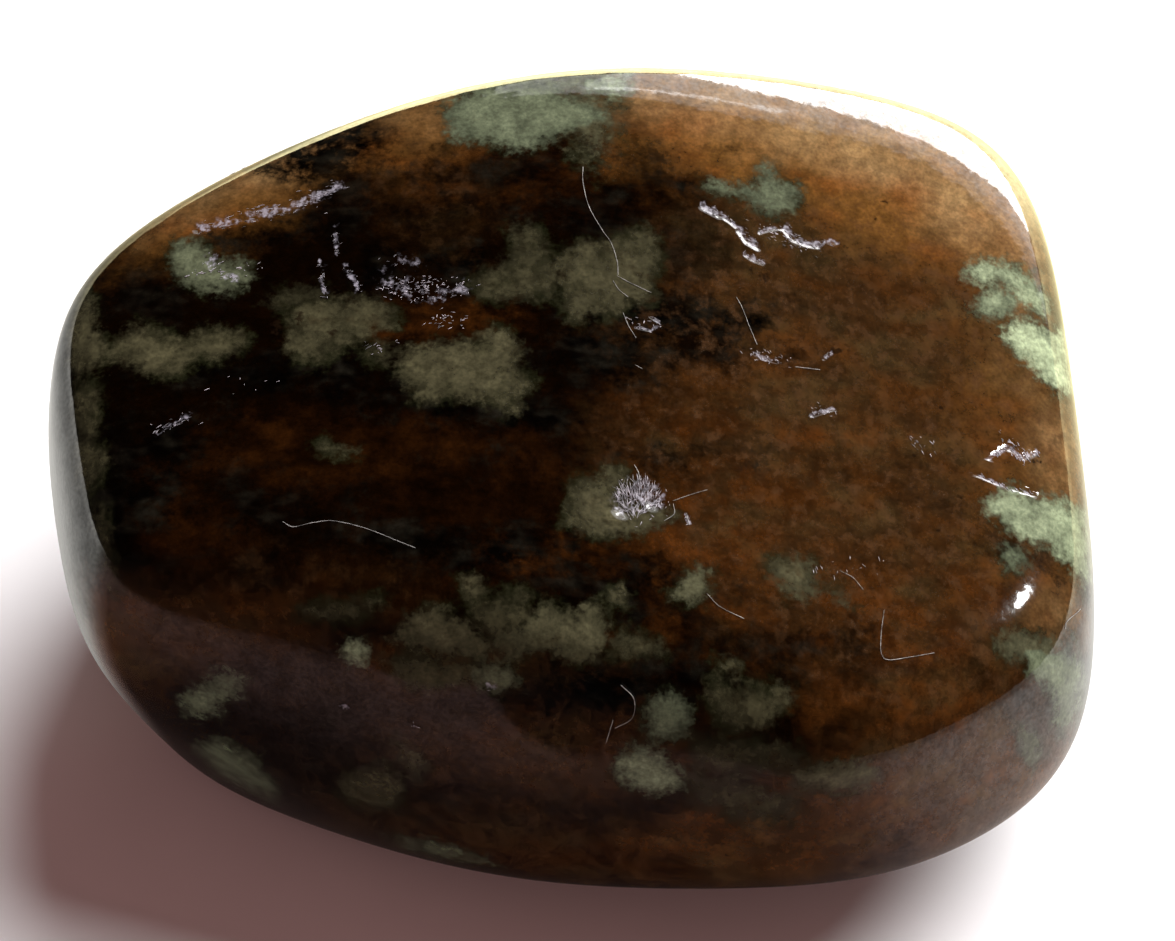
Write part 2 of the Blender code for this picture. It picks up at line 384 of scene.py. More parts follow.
# Broader marks of each kind: photo x and y of the middle, half length and half height in pixels,
# turn in degrees, and strength. The green ones carry patches on round the rim to the hidden side.
broadMarks = {
    "green": [
        # the strong marks on the right rim, at 1062, 352 and 1086, 545, are green partly painted light
        # glowing through the thin edge
        (535, 86, 62, 12, 0, 0.9), (1062, 352, 11, 32, -12, 3), (1086, 545, 9, 32, 0, 2),
        (1078, 692, 8, 34, 8, 1.2), (84, 412, 9, 34, 0, 0.4), (440, 851, 28, 5, -12, 0.8),
        (252, 784, 24, 7, -36, 0.8),
    ],
    "black": [
        (322, 155, 58, 28, 24, 1), (345, 200, 34, 26, 0, 0.8), (530, 166, 110, 18, 2, 0.8),
        (790, 646, 90, 18, 0, 0.75), (470, 208, 80, 8, 3, 0.8), (370, 268, 20, 16, 0, 1),
        # the marks at 330, 215 and 250, 236 are painted shade under the shoulder groove
        (458, 265, 20, 16, 0, 1), (330, 215, 14, 12, 0, 0.8), (250, 236, 56, 8, 14, 1),
        (145, 290, 56, 30, 0, 0.6), (250, 372, 64, 14, 0, 1), (330, 374, 60, 15, -6, 1),
        (430, 398, 62, 14, -14, 1), (500, 408, 50, 13, -4, 1), (170, 440, 40, 22, 20, 0.9),
        (110, 455, 28, 34, 0, 0.7), (150, 490, 46, 24, 10, 1), (118, 530, 16, 40, 20, 0.9),
        (265, 505, 70, 16, 0, 0.8), (390, 540, 60, 14, -10, 0.9), (490, 552, 66, 15, 0, 1),
        (230, 480, 30, 14, 0, 0.6), (600, 352, 50, 24, 0, 1), (672, 314, 84, 27, 0, 1),
        (680, 348, 60, 16, 0, 0.9), (655, 457, 40, 4, 0, 0.8), (620, 585, 72, 20, 0, 0.9),
        (560, 575, 50, 14, 0, 0.8), (690, 600, 40, 8, 0, 0.6), (590, 690, 86, 24, 6, 1),
        (650, 672, 50, 13, 0, 1), (560, 668, 40, 10, 0, 0.7), (686, 186, 13, 7, 0, 1),
        (610, 210, 36, 24, 0, 0.8), (690, 255, 36, 40, 0, 0.6), (1010, 545, 40, 8, -25, 0.8),
        (330, 760, 50, 44, 0, 0.8), (275, 790, 50, 34, -30, 0.9), (420, 800, 60, 30, 0, 0.6),
        (430, 720, 40, 20, 0, 0.4), (1040, 720, 30, 34, 0, 0.5), (760, 752, 60, 7, 0, 0.5),
        (250, 575, 60, 16, 0, 0.5), (860, 670, 50, 10, 0, 0.5),
    ],
    # tan marks crowd the upper and right rims: the stone's own tan, partly painted light glowing through
    # the thin edge
    "tan": [
        (250, 196, 95, 26, 26, 0.7), (420, 132, 50, 24, 16, 0.75), (1010, 400, 46, 130, 0, 0.3),
        (1062, 625, 20, 50, 0, 0.3), (750, 130, 130, 50, -4, 1), (890, 175, 130, 70, -18, 1),
        (985, 225, 60, 60, 0, 0.9), (660, 106, 50, 26, 0, 0.7), (1060, 470, 30, 60, 0, 0.7),
    ],
    # pale marks crowd the upper and right rims: a paler tan, partly painted light glowing through the thin
    # edge
    "paleAndEdgeGlow": [
        (850, 140, 120, 26, -14, 1), (960, 200, 60, 30, -40, 0.9), (740, 105, 90, 20, -6, 0.6),
        (1030, 290, 24, 60, 0, 0.5), (1065, 450, 18, 40, 0, 0.6), (1060, 620, 24, 24, 0, 0.3),
        (268, 166, 34, 8, 26, 0.7), (430, 112, 24, 14, 0, 0.4), (690, 92, 70, 22, 0, 0.9),
        (1030, 235, 30, 40, 0, 1),
    ],
    "brown": [
        (860, 330, 220, 130, 0, 1), (970, 310, 60, 50, 0, 1.5), (900, 480, 220, 170, 0, 0.92),
        (930, 640, 120, 70, 0, 1), (690, 440, 80, 60, 10, 0.7), (760, 250, 70, 60, 0, 0.8),
        (990, 770, 90, 60, 20, 1.8), (112, 636, 50, 44, -40, 1.7), (540, 750, 130, 40, 0, 1),
        (470, 830, 160, 30, -10, 1), (780, 846, 130, 34, 4, 2.7), (880, 800, 100, 50, 0, 2),
        (240, 620, 90, 26, 8, 1.1), (440, 670, 70, 16, 0, 1.6),
    ],
    "rust": [
        (190, 540, 56, 46, 20, 0.5), (270, 450, 70, 24, 10, 0.6), (380, 440, 120, 22, 0, 0.4),
        (330, 470, 110, 16, 0, 0.45), (400, 505, 140, 14, 0, 0.25), (480, 455, 80, 24, 0, 0.45),
        (350, 585, 90, 12, 0, 0.4), (450, 184, 110, 12, -4, 1), (440, 322, 50, 12, 0, 1.3),
        (660, 553, 80, 13, 0, 1.9), (820, 436, 40, 6, 0, 2.2), (910, 650, 50, 50, 0, 1.8),
        (880, 700, 60, 26, 0, 1.6), (930, 715, 40, 16, 0, 2.2), (980, 590, 24, 24, 0, 1.6),
        (1066, 602, 20, 20, 0, 1.3), (720, 636, 60, 12, 0, 0.6), (810, 640, 70, 20, 0, 0.7),
        (640, 415, 60, 26, 0, 0.5), (720, 500, 90, 24, 0, 1.4), (690, 430, 40, 14, 0, 1.5),
        (230, 215, 60, 12, 20, 0.9), (600, 860, 170, 18, 0, 0.8), (790, 590, 90, 18, 0, 1.7),
        (550, 160, 80, 14, 0, 0.9), (770, 622, 100, 22, 0, 1.2), (850, 600, 70, 24, 0, 1.7),
        (700, 545, 70, 24, 0, 1.4), (740, 470, 60, 9, 0, 1.4), (640, 475, 60, 9, 0, 0.9),
    ],
}
# The hidden sides take markings of the same kinds, strewn from one seed: how many, the least and
# greatest half length (mm), and the range of strength.
hiddenSeed = 7
hiddenMarks = {
    "green": (34, 0.7, 2.2, (0.4, 1.3)),
    "black": (26, 1.0, 3.2, (0.7, 1.0)),
    "tan": (7, 2.0, 4.5, (0.6, 1.0)),
    "paleAndEdgeGlow": (3, 1.5, 3.0, (0.4, 0.8)),
    "brown": (9, 3.0, 6.0, (0.6, 1.0)),
    "rust": (12, 1.5, 4.0, (0.5, 0.9)),
    "glint": (10, 0.3, 1.0, (0.3, 0.7)),
}
hiddenFacing = -0.12        # cosine to the line of sight below which a place is hidden
hiddenTurn = 30             # degrees that a hidden mark may lean out of the level
hiddenShape = (0.4, 0.9)    # half height as a share of half length


def patchFrame(pixel):
    middle = onSurface(pixelPoints([pixel]))
    return middle[0], surfaceNormals(middle)[0], sightRight, sightUp


def hiddenFrames(random, count):
    # places that the photo's view can't see
    frames = []
    while len(frames) < count:
        way = random.normal(size=3) * form["spread"]
        middle = onSurface(way[None, :])
        normal = surfaceNormals(middle)[0]
        if normal @ sightBack < hiddenFacing:
            lean = outward(random.uniform(0, 360), random.uniform(-hiddenTurn, hiddenTurn))
            side = np.cross(normal, lean)
            side /= np.linalg.norm(side)
            frames.append((middle[0], normal, side, np.cross(normal, side)))
    return frames


def strewn(random, count, smallest, largest, strengths):
    marks = []
    for place in hiddenFrames(random, count):
        a = random.uniform(smallest, largest)
        marks.append((place, a, a * random.uniform(*hiddenShape), random.uniform(*strengths)))
    return marks


fieldFloor = -2.0           # mm, far outside every mark
toneFade = 1.2              # how fast the strength of a mark fades outward


def markField(points, patches, hidden):
    # roughly the distance in mm inside the nearest patch's edge, and how strong that patch is
    field = np.full(len(points), fieldFloor)
    weight = np.full(len(points), 1e-6)
    tone = np.full(len(points), 1e-6)
    for x, y, halfLong, halfHigh, turn, strength in patches:
        middle, normal, right, up = patchFrame((x, y))
        t = radians(turn)
        turned = (middle, normal, right * cos(t) + up * sin(t), up * cos(t) - right * sin(t))
        hidden = hidden + [(turned, halfLong * photo["pixel"], halfHigh * photo["pixel"], strength)]
    for (middle, normal, right, up), a, b, strength in hidden:
        away = points - middle
        size = min(a, b)
        flat = (away @ right / a) ** 2 + (away @ up / b) ** 2
        ratio = np.sqrt(flat + (away @ normal / (2 * size + 1)) ** 2)
        field = np.maximum(field, (1 - ratio) * size)
        share = np.exp(-toneFade * ratio ** 2)
        weight += share
        tone += share * strength
    return field, tone / weight


def photoPixels(points):
    # where points of the stone show in the photo
    away = points - eye
    depth = -(away @ sightBack)
    x = photo["width"] / 2 + away @ sightRight / depth * focal
    y = photo["height"] / 2 - away @ sightUp / depth * focal
    return np.stack([x, y], axis=1)


def depthInside(places, outline):
    # distance in pixels inside an outline, negative outside it
    closed = np.vstack([outline, outline[:1]])
    inside = np.zeros(len(places), bool)
    for start, end in zip(closed[:-1], closed[1:]):
        run = end - start
        crosses = (start[1] > places[:, 1]) != (end[1] > places[:, 1])
        with np.errstate(divide="ignore", invalid="ignore"):
            at = start[0] + (places[:, 1] - start[1]) / run[1] * run[0]
        inside ^= crosses & (places[:, 0] < at)
    nearest = pathDistance(places, closed)
    return np.where(inside, nearest, -nearest)


def outlineField(points, field, tone):
    # adds the outlined green patches to the field and tone of the broader ones
    facing = (surfaceNormals(points) * (eye - points)).sum(axis=1) > 0
    places = photoPixels(points[facing])
    near = field[facing]
    share = tone[facing]
    for strength, outline in greenOutlines.values():
        inside = depthInside(places, np.reshape(outline, (-1, 2)).astype(float)) * photo["pixel"]
        share = np.where(inside > near, strength, share)
        near = np.maximum(near, inside)
    field[facing] = near
    tone[facing] = share
    return field, tone


speckReach = 1.5            # mm beyond which a speck has no effect


def speckField(points):
    field = np.full(len(points), -1.0)
    for (_, _, halfLong, halfHigh), place in zip(specks, speckPlaces):
        away = points - place
        across = np.hypot(away @ sightRight / halfLong, away @ sightUp / halfHigh) / photo["pixel"]
        far = np.linalg.norm(away, axis=1) > speckReach
        field = np.maximum(field, np.where(far, -1.0, 1 - across))
    return field


# Building the stone

def attribute(mesh, name, values):
    made = mesh.attributes.new(name, "FLOAT", "POINT")
    made.data.foreach_set("value", np.asarray(values, np.float32))


def makeStone():
    net = drawNet()
    bare = netPoints(net)
    normals = surfaceNormals(bare)
    scarDepth, frost = scarShares(bare)
    body = bare - normals * (scarDepth + hollowDepth(bare))[:, None]
    low, high = body.min(axis=0), body.max(axis=0)
    foot = low[2] + form["footDepth"]
    body[:, 2] = np.maximum(body[:, 2], foot)
    boxLow, boxHigh = np.array(cadBox[0]) / mm, np.array(cadBox[1]) / mm
    shift = (boxLow + boxHigh) / 2 - (low + high) / 2
    shift[2] = boxLow[2] - foot
    placePoints(net, (body + shift) * mm)
    mesh = bpy.data.meshes.new("polishedStone")
    net.to_mesh(mesh)
    net.free()
    mesh.shade_smooth()
    random = np.random.default_rng(hiddenSeed)
    for kind, patches in broadMarks.items():
        field, tone = markField(bare, patches, strewn(random, *hiddenMarks[kind]))
        if kind == "green":
            field, tone = outlineField(bare, field, tone)
        attribute(mesh, kind, field)
        attribute(mesh, kind + "Tone", tone)
    attribute(mesh, "frost", frost)
    attribute(mesh, "speck", speckField(bare))
    stone = addObject("polishedStone", mesh)
    triangles = sum(len(face.vertices) - 2 for face in mesh.polygons)
    print("stone", len(mesh.vertices), "points", triangles, "triangles")
    return stone, shift


# Material helpers

class Nodes:
    def __init__(self, tree):
        self.tree = tree

    def add(self, kind, values=None, **settings):
        node = self.tree.nodes.new(kind)
        for key, value in settings.items():
            setattr(node, key, value)
        self.fill(node.inputs, values or {})
        return node

    def fill(self, sockets, values):
        for socket, value in values.items():
            self.feed(sockets[socket], value)

    def feed(self, socket, value):
        if isinstance(value, bpy.types.NodeSocket):
            self.tree.links.new(value, socket)
        elif isinstance(value, (tuple, list)) and socket.type == "RGBA" and len(value) == 3:
            socket.default_value = (*value, 1.0)
        else:
            socket.default_value = value

    def maths(self, operation, a, b=0.0, c=0.0, clamp=False):
        node = self.add("ShaderNodeMath", {0: a, 1: b, 2: c}, operation=operation, use_clamp=clamp)
        return node.outputs[0]

    def times(self, a, b, clamp=False):
        return self.maths("MULTIPLY", a, b, clamp=clamp)

    def plus(self, a, b, clamp=False):
        return self.maths("ADD", a, b, clamp=clamp)

    def vector(self, operation, a, b):
        return self.add("ShaderNodeVectorMath", {0: a, 1: b}, operation=operation).outputs[0]

    def scaled(self, a, scale):
        return self.add("ShaderNodeVectorMath", {0: a, 3: scale}, operation="SCALE").outputs[0]

    def ramp(self, value, low, high, toLow=0.0, toHigh=1.0, smooth=True):
        node = self.add("ShaderNodeMapRange", {"Value": value, "From Min": low, "From Max": high,
                                               "To Min": toLow, "To Max": toHigh})
        node.interpolation_type = "SMOOTHSTEP" if smooth else "LINEAR"
        return node.outputs["Result"]

    def mix(self, factor, a, b):
        node = self.add("ShaderNodeMix", data_type="RGBA")
        self.fill(node.inputs, {"Factor": factor, 6: a, 7: b})
        return node.outputs[2]

    def noise(self, position, scale, detail, roughness=0.6):
        node = self.add("ShaderNodeTexNoise", {"Vector": position, "Scale": scale, "Detail": detail,
                                               "Roughness": roughness})
        return node.outputs["Fac"]

    def field(self, name):
        return self.add("ShaderNodeAttribute", attribute_name=name).outputs["Fac"]

    def apart(self, coordinate):
        place = self.add("ShaderNodeTexCoord").outputs[coordinate]
        return self.add("ShaderNodeSeparateXYZ", {0: place}).outputs

    def millimetres(self):
        return self.scaled(self.add("ShaderNodeTexCoord").outputs["Object"], 1 / mm)


# Noise that makes the edges of marks wander and fray: scale, detail and roughness.
edgeNoise = {"wander": (0.9, 1.0, 0.6), "fray": (4.2, 2.0, 0.7)}


def raggedMarkGroup():
    # turns a field in mm into a mask whose edge wanders and frays
    tree = bpy.data.node_groups.new("raggedMark", "ShaderNodeTree")
    for side, kind, names in (("INPUT", "Vector", ("Position", "Offset")),
                              ("INPUT", "Float", ("Field", "Wander", "Fray", "Softness")),
                              ("OUTPUT", "Float", ("Mask", "Inside"))):
        for name in names:
            tree.interface.new_socket(name, in_out=side, socket_type="NodeSocket" + kind)
    n = Nodes(tree)
    given, out = n.add("NodeGroupInput").outputs, n.add("NodeGroupOutput").inputs
    place = n.vector("ADD", given["Position"], given["Offset"])
    broad = n.maths("SUBTRACT", n.noise(place, *edgeNoise["wander"]), 0.5)
    fine = n.maths("SUBTRACT", n.noise(place, *edgeNoise["fray"]), 0.5)
    inside = n.maths("MULTIPLY_ADD", broad, given["Wander"], given["Field"])
    inside = n.maths("MULTIPLY_ADD", fine, given["Fray"], inside)
    n.feed(out["Inside"], inside)
    n.feed(out["Mask"], n.ramp(inside, n.times(given["Softness"], -1.0), given["Softness"]))
    return tree


raggedMark = raggedMarkGroup()


def shaderOf(name):
    material = bpy.data.materials.new(name)
    material.use_nodes = True
    return material, Nodes(material.node_tree), material.node_tree.nodes["Principled BSDF"].inputs


# The stone's material
colours = {
    "deep": (0.0016, 0.0005, 0.00005),
    "brown": (0.022, 0.0094, 0.0028),
    "olive": (0.030, 0.0165, 0.0056),
    "redBrown": (0.036, 0.0128, 0.0028),
    # tan, rustTan and pale: the stone's own tan, partly painted light glowing through the thin upper and
    # right edges
    "tan": (0.094, 0.041, 0.0095),
    "rustTan": (0.110, 0.034, 0.0060),
    "paleAndEdgeGlow": (0.22, 0.136, 0.058),
    "rust": (0.022, 0.0068, 0.0012),
    "black": (0.0005, 0.0003, 0.0002),
    "blackCloud": (0.0072, 0.0062, 0.0042),
    "tawny": (0.054, 0.0255, 0.0105),
    "speck": (0.0060, 0.0030, 0.0014),
    "green": (0.082, 0.096, 0.058),
    "khaki": (0.086, 0.077, 0.040),
    "halo": (0.0065, 0.0075, 0.0028),
    "frost": (0.30, 0.28, 0.33),
}
finish = {"roughness": 0.06, "crushedRoughness": 0.5, "ior": 1.54}
ripple = {"strength": 0.15, "distance": 0.00002, "scale": 3.0}
# The edge of each kind of mark: offset of its noise, wander, fray and softness (mm).
markEdges = {
    "brown": ((3, 1, 7), 1.6, 0.9, 1.3),
    "rust": ((9, 4, 2), 1.6, 1.2, 0.7),
    "tan": ((5, 8, 1), 1.5, 0.8, 1.0),
    "paleAndEdgeGlow": ((7, 2, 6), 1.0, 0.3, 1.0),
    "black": ((2, 6, 3), 1.6, 1.5, 0.5),
    "green": ((0, 0, 0), 0.2, 0.75, 0.20),
}
# Clouds of noise: offset, scale, detail, the two levels it runs between, and what it gives at each.
bandStretch = (0.60, 1.0, 1.0)      # bands run along the length
bandClouds = {
    "olive": ((1, 5, 9), 0.75, 2.0, 0.38, 0.66, 0.0, 1.0),
    "redBrown": ((6, 3, 1), 0.9, 2.0, 0.42, 0.70, 0.0, 0.9),
    "rust": ((7, 1, 3), 1.3, 2.0, 0.30, 0.66, 0.15, 1.0),
    "rustTan": ((2, 9, 4), 0.7, 2.0, 0.40, 0.70, 0.0, 0.85),
    "black": ((1, 8, 6), 1.6, 2.0, 0.42, 0.76, 0.0, 0.9),
    "broad": ((8, 8, 2), 1.5, 2.0, 0.28, 0.72),     # its outcome hangs on the tan
}
roundClouds = {
    "paleAndEdgeGlow": ((4, 7, 8), 0.8, 2.0, 0.3, 0.65, 0.55, 1.0),
    "middling": ((3, 2, 8), 3.2, 2.0, 0.28, 0.72, 0.76, 1.26),
    "tawny": ((3, 3, 3), 2.4, 3.0, 0.48, 0.72, 0.0, 0.55),
    "halo": ((6, 6, 1), 1.2, 2.0, 0.36, 0.64, 0.0, 0.75),
    "mottle": ((5, 2, 7), 1.6, 2.0, 0.28, 0.70, 0.66, 1.24),
    "fineMottle": ((7, 7, 4), 6.0, 2.0, 0.28, 0.72, 0.80, 1.16),
    "thin": ((9, 1, 5), 2.4, 2.0, 0.32, 0.62, 0.20, 0.8),
    "grain": ((0, 0, 0), 11.0, 1.0, 0.25, 0.75, 0.84, 1.16),
    "polish": ((4, 1, 3), 1.8, 2.0, 0.30, 0.70, 0.36, 0.60),
    "finePolish": ((6, 8, 3), 9.0, 1.0, 0.30, 0.70, 0.75, 1.25),
}
# on the tan, the lighter setting is partly painted glow through the thin upper and right edges
tanAndEdgeGlowContrast = {"dark": (0.76, 0.90), "light": (1.26, 1.10)}     # off the tan, and on it
greenLook = {
    "halo": -0.34,                      # how far out the dark halo starts (mm)
    "khakiToGreen": (0.45, 0.95),       # strengths between which khaki turns green
    "rim": (-0.10, 0.45, 0.58, 1.10),   # darker at the edge than inside
    "cover": 0.8,
}
speckLook = {"scale": 6.0, "swing": 2.4, "inset": 1.4, "edge": (0.0, 0.7, 0.0, 0.8)}
frostLook = {
    "scale": 4.5,
    "swing": 3.6,
    "edge": (0.30, 1.15),
    "needleScale": 9.0,
    "needles": (0.30, 0.70, 0.25, 1.0),
    "veil": (0.02, 0.50, 0.0, 0.62),
}


def stoneMaterial():
    material, n, shader = shaderOf("polishedStone")
    position = n.millimetres()
    alongBands = n.vector("MULTIPLY", position, bandStretch)

    def mark(name):
        node = n.add("ShaderNodeGroup", node_tree=raggedMark)
        sockets = ("Field", "Position", "Offset", "Wander", "Fray", "Softness")
        n.fill(node.inputs, dict(zip(sockets, (n.field(name), position, *markEdges[name]))))
        return node.outputs["Mask"], node.outputs["Inside"]

    def cloud(name, *outcome):
        inBands = name in bandClouds
        offset, scale, detail, low, high, *usual = bandClouds[name] if inBands else roundClouds[name]
        place = alongBands if inBands else position
        shape = n.noise(n.vector("ADD", place, offset), scale, detail)
        return n.ramp(shape, low, high, *(outcome or usual))

    masks = {name: mark(name)[0] for name in markEdges if name != "green"}
    greenMask, greenInside = mark("green")
    masks["tan"] = n.times(masks["tan"], n.field("tanTone"))

    # body: brown mottled with olive and red-brown clouds, deep brown where the marks leave off
    brown = n.mix(cloud("olive"), colours["brown"], colours["olive"])
    brown = n.mix(cloud("redBrown"), brown, colours["redBrown"])
    colour = n.mix(masks["brown"], colours["deep"], n.scaled(brown, n.field("brownTone")))
    rust = n.scaled(colours["rust"], n.field("rustTone"))
    colour = n.mix(n.times(masks["rust"], cloud("rust")), colour, rust)
    # tan and pale: the stone's own tan, made lighter at the upper and right rims as painted light glowing
    # through the thin edge
    colour = n.mix(masks["tan"], colour, n.mix(cloud("rustTan"), colours["tan"], colours["rustTan"]))
    paleAndEdgeGlow = n.times(masks["paleAndEdgeGlow"], cloud("paleAndEdgeGlow"))
    colour = n.mix(n.times(paleAndEdgeGlow, n.field("paleAndEdgeGlowTone")), colour, colours["paleAndEdgeGlow"])
    black = n.mix(cloud("black"), colours["black"], colours["blackCloud"])
    colour = n.mix(n.times(masks["black"], n.field("blackTone")), colour, black)
    # clouds of two sizes run through all of it
    # the lift on the tan is partly painted glow through the thin edge
    dark = n.ramp(masks["tan"], 0.0, 1.0, *tanAndEdgeGlowContrast["dark"])
    light = n.ramp(masks["tan"], 0.0, 1.0, *tanAndEdgeGlowContrast["light"])
    colour = n.scaled(colour, cloud("broad", dark, light))
    colour = n.scaled(colour, cloud("middling"))
    colour = n.mix(n.times(cloud("tawny"), masks["brown"]), colour, colours["tawny"])
    # green: mottled, thinner and more khaki where it is faint
    halo = n.ramp(greenInside, greenLook["halo"], 0.0, 0.0, cloud("halo"))
    colour = n.mix(halo, colour, colours["halo"])
    tone = n.field("greenTone")
    green = n.mix(n.ramp(tone, *greenLook["khakiToGreen"]), colours["khaki"], colours["green"])
    mottle = n.times(cloud("mottle"), cloud("fineMottle"))
    rim = n.ramp(greenInside, *greenLook["rim"])
    green = n.scaled(green, n.times(tone, n.times(mottle, rim)))
    thin = n.plus(n.times(tone, greenLook["cover"]), cloud("thin"), clamp=True)
    colour = n.mix(n.times(greenMask, thin), colour, green)
    colour = n.scaled(colour, cloud("grain"))
    wander = n.noise(position, speckLook["scale"], 1.0)
    inset = n.plus(n.field("speck"), -speckLook["inset"])
    speck = n.maths("MULTIPLY_ADD", wander, speckLook["swing"], inset)
    colour = n.mix(n.ramp(speck, *speckLook["edge"]), colour, colours["speck"])
    # scars are frosted by crushing
    wander = n.noise(position, frostLook["scale"], 2.0)
    swing = frostLook["swing"]
    ragged = n.maths("MULTIPLY_ADD", wander, swing, n.plus(n.field("frost"), -swing / 2))
    needles = n.ramp(n.noise(position, frostLook["needleScale"], 1.0), *frostLook["needles"])
    frost = n.times(n.ramp(ragged, *frostLook["edge"]), needles)
    frost = n.times(frost, n.ramp(n.field("frost"), *frostLook["veil"]), clamp=True)
    bump = n.add("ShaderNodeBump", {"Strength": ripple["strength"], "Distance": ripple["distance"],
                                    "Height": n.noise(position, ripple["scale"], 1.0)})
    crushed = finish["crushedRoughness"]
    n.fill(shader, {
        "Base Color": n.mix(frost, colour, colours["frost"]),
        "Roughness": n.maths("MULTIPLY_ADD", frost, crushed, finish["roughness"]),
        "Specular IOR Level": n.times(cloud("polish"), cloud("finePolish")),
        "IOR": finish["ior"],
        "Normal": bump.outputs["Normal"],
    })
    return material


# Lint: photo x and y in turn along each fibre.
lint = {
    "radius": 0.0095,
    "fibres": [
        [583, 167, 583, 183, 589, 207, 602, 230, 611, 243, 617, 261, 618, 275],
        [617, 276, 632, 284, 651, 293],
        [613, 281, 619, 290, 628, 297],
        [623, 313, 629, 327, 636, 338],
        [736, 297, 742, 308, 749, 326, 757, 345],
        [635, 365, 642, 369],
        [673, 501, 690, 495, 707, 490],
        [673, 504, 674, 514, 664, 521],
        [686, 513, 689, 525],
        [707, 594, 720, 607, 744, 619],
        [283, 522, 293, 527, 312, 523, 332, 521, 357, 526, 378, 533, 395, 540, 415, 548],
        [840, 571, 853, 578, 863, 590],
        [795, 367, 820, 370],
        [884, 610, 881, 633, 881, 653, 888, 660, 911, 657, 934, 653],
        [621, 685, 634, 699, 632, 718, 615, 728],
        [613, 720, 606, 743],
        [1080, 609, 1067, 621, 1065, 629],
        [634, 465, 638, 472, 640, 480],
    ],
    "seed": 11,
    "lift": (0.9, 2.0),
    "thickness": (0.6, 1.15),
    "colour": (0.27, 0.26, 0.25),
    "mottle": 4.0,
    "shades": (0.28, 1.35),
    "roughness": 0.6,
}


def smoothPath(points, steps=6):
    padded = np.vstack([2 * points[0] - points[1], points, 2 * points[-1] - points[-2]])
    made = []
    for i in range(1, len(padded) - 2):
        a, b, c, d = padded[i - 1:i + 3]
        for t in np.arange(steps) / steps:
            made.append(0.5 * (2 * b + (c - a) * t + (2 * a - 5 * b + 4 * c - d) * t ** 2
                               + (3 * b - a - 3 * c + d) * t ** 3))
    return np.array(made + [padded[-2]])


def drawThreads(name, threads, radius, shift):
    # thin round threads lying on the stone: each has its points, their lift (mm) and their thickness
    curve = bpy.data.curves.new(name, "CURVE")
    curve.dimensions = "3D"
    curve.bevel_depth = radius * mm
    curve.bevel_resolution = 0
    curve.use_fill_caps = True
    for points, lift, thickness in threads:
        raised = points + surfaceNormals(points) * lift[:, None] + shift
        spline = curve.splines.new("POLY")
        spline.points.add(len(raised) - 1)
        for spot, point, thick in zip(spline.points, raised, thickness):
            spot.co = (*(point * mm), 1.0)
            spot.radius = thick
    source = addObject(name + "Curve", curve)
    mesh = bpy.data.meshes.new_from_object(source.evaluated_get(bpy.context.evaluated_depsgraph_get()))
    bpy.data.objects.remove(source)
    piece = addObject(name, mesh)
    print(name, len(mesh.polygons), "faces")
    return piece


def makeLint(shift):
    random = np.random.default_rng(lint["seed"])
    threads = []
    for pixels in lint["fibres"]:
        points = onSurface(smoothPath(onSurface(pixelPoints(pixels))))
        lift = lint["radius"] * random.uniform(*lint["lift"], len(points))
        threads.append((points, lift, random.uniform(*lint["thickness"], len(points))))
    return drawThreads("lintFibres", threads, lint["radius"], shift)


# Splinters: in the crushed pit they fan out from a root, and along the other scars they lie at all
# angles. Places are photo pixels.
splinters = {
    "seed": 3,
    "pitCount": 190,
    "middle": (639, 495),
    "spread": (23, 19),
    "root": (634, 516),
    "stray": 24,            # degrees
    "pitLength": (4, 12),
    "perLength": 23,        # on the other scars, for each mm
    "across": 0.38,         # how far they lie from the scar's middle, as a share of its half width
    "straySide": 50,        # degrees
    "length": (1.5, 5.5),
    "radius": 0.0085,       # mm
    "settle": (0.6, 1.0),   # how deep in the scar they lie
    "taper": (0.5, 1.0, 0.2),
    "thickness": (0.5, 1.4),
    "colour": (0.31, 0.29, 0.32),
    "mottle": 6.0,
    "shades": (0.2, 1.5),
    "roughness": 0.5,
}


def splinterThreads(random, places, ways, lengths, radius):
    # short needles through the given places, settled into the scars
    half = ways * (lengths * photo["pixel"] / 2)[:, None]
    points = onSurface(np.stack([places - half, places, places + half], axis=1).reshape(-1, 3))
    lift = radius - scarShares(points)[0] * random.uniform(*splinters["settle"], len(points))
    taper = np.array(splinters["taper"])
    return [(points[i:i + 3], lift[i:i + 3], taper * random.uniform(*splinters["thickness"]))
            for i in range(0, len(points), 3)]


def makeSplinters(shift):
    random = np.random.default_rng(splinters["seed"])
    turns = random.uniform(0, 2 * pi, splinters["pitCount"])
    out = np.sqrt(random.uniform(size=len(turns)))
    ring = np.stack([np.cos(turns), np.sin(turns)], axis=1)
    pixels = ring * out[:, None] * splinters["spread"] + splinters["middle"]
    fan = pixels - splinters["root"]
    stray = random.normal(size=len(turns)) * radians(splinters["stray"])
    headings = np.arctan2(-fan[:, 1], fan[:, 0]) + stray
    places = [onSurface(pixelPoints(pixels))]
    lengths = [random.uniform(*splinters["pitLength"], len(turns))]
    for name, (_, halfWidth, _, frosting) in scars.items():
        if name == "crushedPit":
            continue
        for start, end in zip(scarPaths[name][:-1], scarPaths[name][1:]):
            run = end - start
            count = int(np.ceil(np.linalg.norm(run) * splinters["perLength"] * frosting))
            along = random.uniform(size=count)[:, None]
            aside = random.normal(size=(count, 3)) * halfWidth * splinters["across"]
            places.append(start + along * run + aside)
            lengths.append(random.uniform(*splinters["length"], count))
            stray = random.normal(size=count) * radians(splinters["straySide"])
            headings = np.append(headings, np.arctan2(run @ sightUp, run @ sightRight) + stray)
    ways = np.cos(headings)[:, None] * sightRight + np.sin(headings)[:, None] * sightUp
    threads = splinterThreads(random, np.vstack(places), ways, np.concatenate(lengths), splinters["radius"])
    return drawThreads("crushedSplinters", threads, splinters["radius"], shift)


